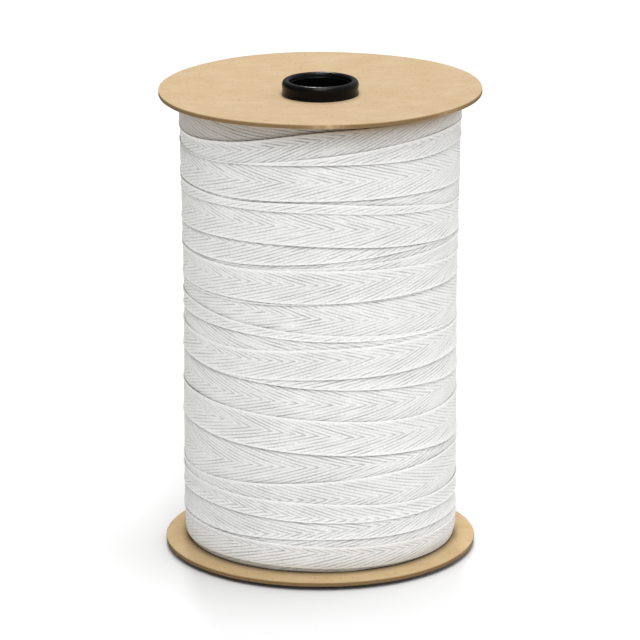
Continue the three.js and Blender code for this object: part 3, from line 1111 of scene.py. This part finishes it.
plastic_shader = add_node(
    plastic,
    "BsdfPrincipled",
    inputs={
        "Base Color": black.outputs[2],
        "Roughness": gloss.outputs["Result"],
        "IOR": 1.49,
        "Specular IOR Level": 0.12,
        "Normal": grain_bump.outputs["Normal"],
    },
)
plastic.node_tree.links.new(plastic_shader.outputs[0], plastic_output.inputs["Surface"])
print("plastic material has", len(plastic.node_tree.nodes), "nodes")

# %% [markdown]
# ## The core tube
#
# The tube runs through the whole reel and ends in a thick rounded collar on each board.
# The collar flares a little at its foot, swells below the crest, and has a small ledge
# inside, from which the bore goes down. Its section is a smooth curve through fourteen
# points, and the lower collar mirrors the upper one, so the reel stands on its crest.

# %% Core tube shape
TUBE_SIDES = 192
TUBE_ROWS = 12
COLLAR_ROWS = 60
BORE_START = 10.0
# Radius and height over the board, from the collar's foot over its crest to the ledge.
COLLAR_PROFILE = [
    (18.0, 0.02),
    (19.0, 0.05),
    (19.05, 0.7),
    (18.9, 1.6),
    (18.85, 2.8),
    (19.0, 4.0),
    (19.1, 4.9),
    (18.9, 5.9),
    (18.3, 6.8),
    (17.4, 7.25),
    (16.5, 7.25),
    (15.75, 6.9),
    (15.3, 6.2),
    (15.15, 5.4),
]
LEDGE = [(15.14, 5.15), (15.1, 5.03), (15.0, 5.0), (14.93, 4.93), (14.9, 4.8)]
collar = np.array(COLLAR_PROFILE)
fine = np.linspace(1, len(collar) - 2, COLLAR_ROWS)
numbers = np.arange(len(collar))
collar_curve = np.stack([smooth_curve(numbers, column, fine) for column in collar.T], -1)
collar_curve = np.vstack([collar[0], collar_curve, collar[-1], LEDGE])
collar_curve[:, 1] = np.minimum(collar_curve[:, 1], COLLAR_HEIGHT)

upper_collar = collar_curve + [0, REEL_HEIGHT - COLLAR_HEIGHT]
lower_collar = (collar_curve * [1, -1] + [0, COLLAR_HEIGHT])[::-1]
wall_foot = COLLAR_HEIGHT - collar[0, 1]
wall_height = np.linspace(wall_foot, REEL_HEIGHT - wall_foot, TUBE_ROWS)
tube_wall = np.stack([np.full(TUBE_ROWS, TUBE_OUTER_RADIUS), wall_height], -1)
bore_height = np.linspace(REEL_HEIGHT - BORE_START, BORE_START, TUBE_ROWS)
bore_wall = np.stack([np.full(TUBE_ROWS, TUBE_BORE_RADIUS), bore_height], -1)
tube_section = np.vstack([tube_wall, upper_collar, bore_wall, lower_collar])
print("tube section has", len(tube_section), "points, up to", tube_section[:, 1].max())

tube_azimuth = np.arange(TUBE_SIDES + 1)[:, None] * 360 / TUBE_SIDES
tube_radius = tube_section[:, 0] + 0 * tube_azimuth
tube_height = tube_section[:, 1] + 0 * tube_azimuth
tube_points = turned_point(tube_radius, tube_azimuth, tube_height)
tube_uv = np.stack([np.radians(tube_azimuth) * tube_radius, tube_height], -1)
tube_uv = np.concatenate([tube_uv, tube_uv[:, :1]], 1)
tube = ring_piece("core_moulding", tube_points[:-1], tube_uv, {}, plastic)
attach(tube, "root")
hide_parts("core_tube")

# %% [markdown]
# ## The floor
#
# The reel stands on a roll of white backdrop paper: matt, without any pattern. It is far
# larger than the picture, so that no edge of it shows. A curved backdrop would do as well,
# but a plain level one is enough while the camera looks down.

# %% Floor
FLOOR_HALF = 8000.0
paper, paper_output = new_material("white_paper_backdrop")
paper_shader = add_node(
    paper, "BsdfPrincipled", inputs={"Base Color": linear("#D5D5D5"), "Roughness": 0.95}
)
paper.node_tree.links.new(paper_shader.outputs[0], paper_output.inputs["Surface"])
corners = np.array([(-1, -1, 0), (1, -1, 0), (1, 1, 0), (-1, 1, 0)]) * FLOOR_HALF * MM
floor_mesh = bpy.data.meshes.new("floor")
floor_mesh.from_pydata(corners.tolist(), [], [(0, 1, 2, 3)])
floor_mesh.materials.append(paper)
floor = bpy.data.objects.new("floor", floor_mesh)
bpy.context.scene.collection.objects.link(floor)
print("the floor is", 2 * FLOOR_HALF * MM, "m wide")

# %% [markdown]
# ## The light
#
# The light is soft and comes from nearly everywhere, as in a white studio: a large
# softbox above, another in front, and a window behind. Area lamps would be as soft, but
# they fade over the floor. Sun lamps with a wide angle light all of it evenly, so it stays
# white to the edges and darkens only close to the reel. The surround fills in the rest. It
# is brighter above, in front and to the right, which leaves a soft shade on the left.

# %% Lights
# Each lamp: the azimuth and elevation that it shines from, its strength, and its width.
# The angles are in degrees.
LAMPS = {
    "top_softbox": (132.0, 84.0, 1.5, 26.0),
    "front_softbox": (0.0, 54.0, 1.55, 30.0),
    "back_window": (4.0, 135.0, 0.9, 8.0),
}
SURROUND_LEVEL, SURROUND_SLOPE = 0.3, 0.56
SURROUND_AZIMUTH, SURROUND_ELEVATION = np.radians(62.0), np.radians(58.0)

for name, (azimuth, elevation, strength, width) in LAMPS.items():
    lamp = bpy.data.objects.new(name, bpy.data.lights.new(name, "SUN"))
    lamp.data.energy = strength
    lamp.data.angle = np.radians(width)
    lamp.rotation_euler = (np.radians(90 - elevation), 0, np.radians(azimuth))
    bpy.context.scene.collection.objects.link(lamp)

bright_side = (
    np.sin(SURROUND_AZIMUTH) * np.cos(SURROUND_ELEVATION),
    -np.cos(SURROUND_AZIMUTH) * np.cos(SURROUND_ELEVATION),
    np.sin(SURROUND_ELEVATION),
)
world = bpy.data.worlds.new("studio_surround")
world.use_nodes = True
world.node_tree.nodes.clear()
direction = add_node(world, "TexCoord").outputs["Generated"]
facing = add_node(
    world, "VectorMath", {"operation": "DOT_PRODUCT"}, {0: direction, 1: bright_side}
)
level = add_node(
    world,
    "Math",
    {"operation": "MULTIPLY_ADD", "use_clamp": True},
    {0: facing.outputs["Value"], 1: SURROUND_SLOPE, 2: SURROUND_LEVEL},
)
surround = add_node(
    world, "Background", inputs={"Color": linear("#FFFFFF"), "Strength": level.outputs["Value"]}
)
add_node(world, "OutputWorld", inputs={"Surface": surround.outputs["Background"]})
bpy.context.scene.world = world
bpy.context.scene.view_settings.view_transform = "Standard"
print("the surround is brightest at", SURROUND_LEVEL + SURROUND_SLOPE)
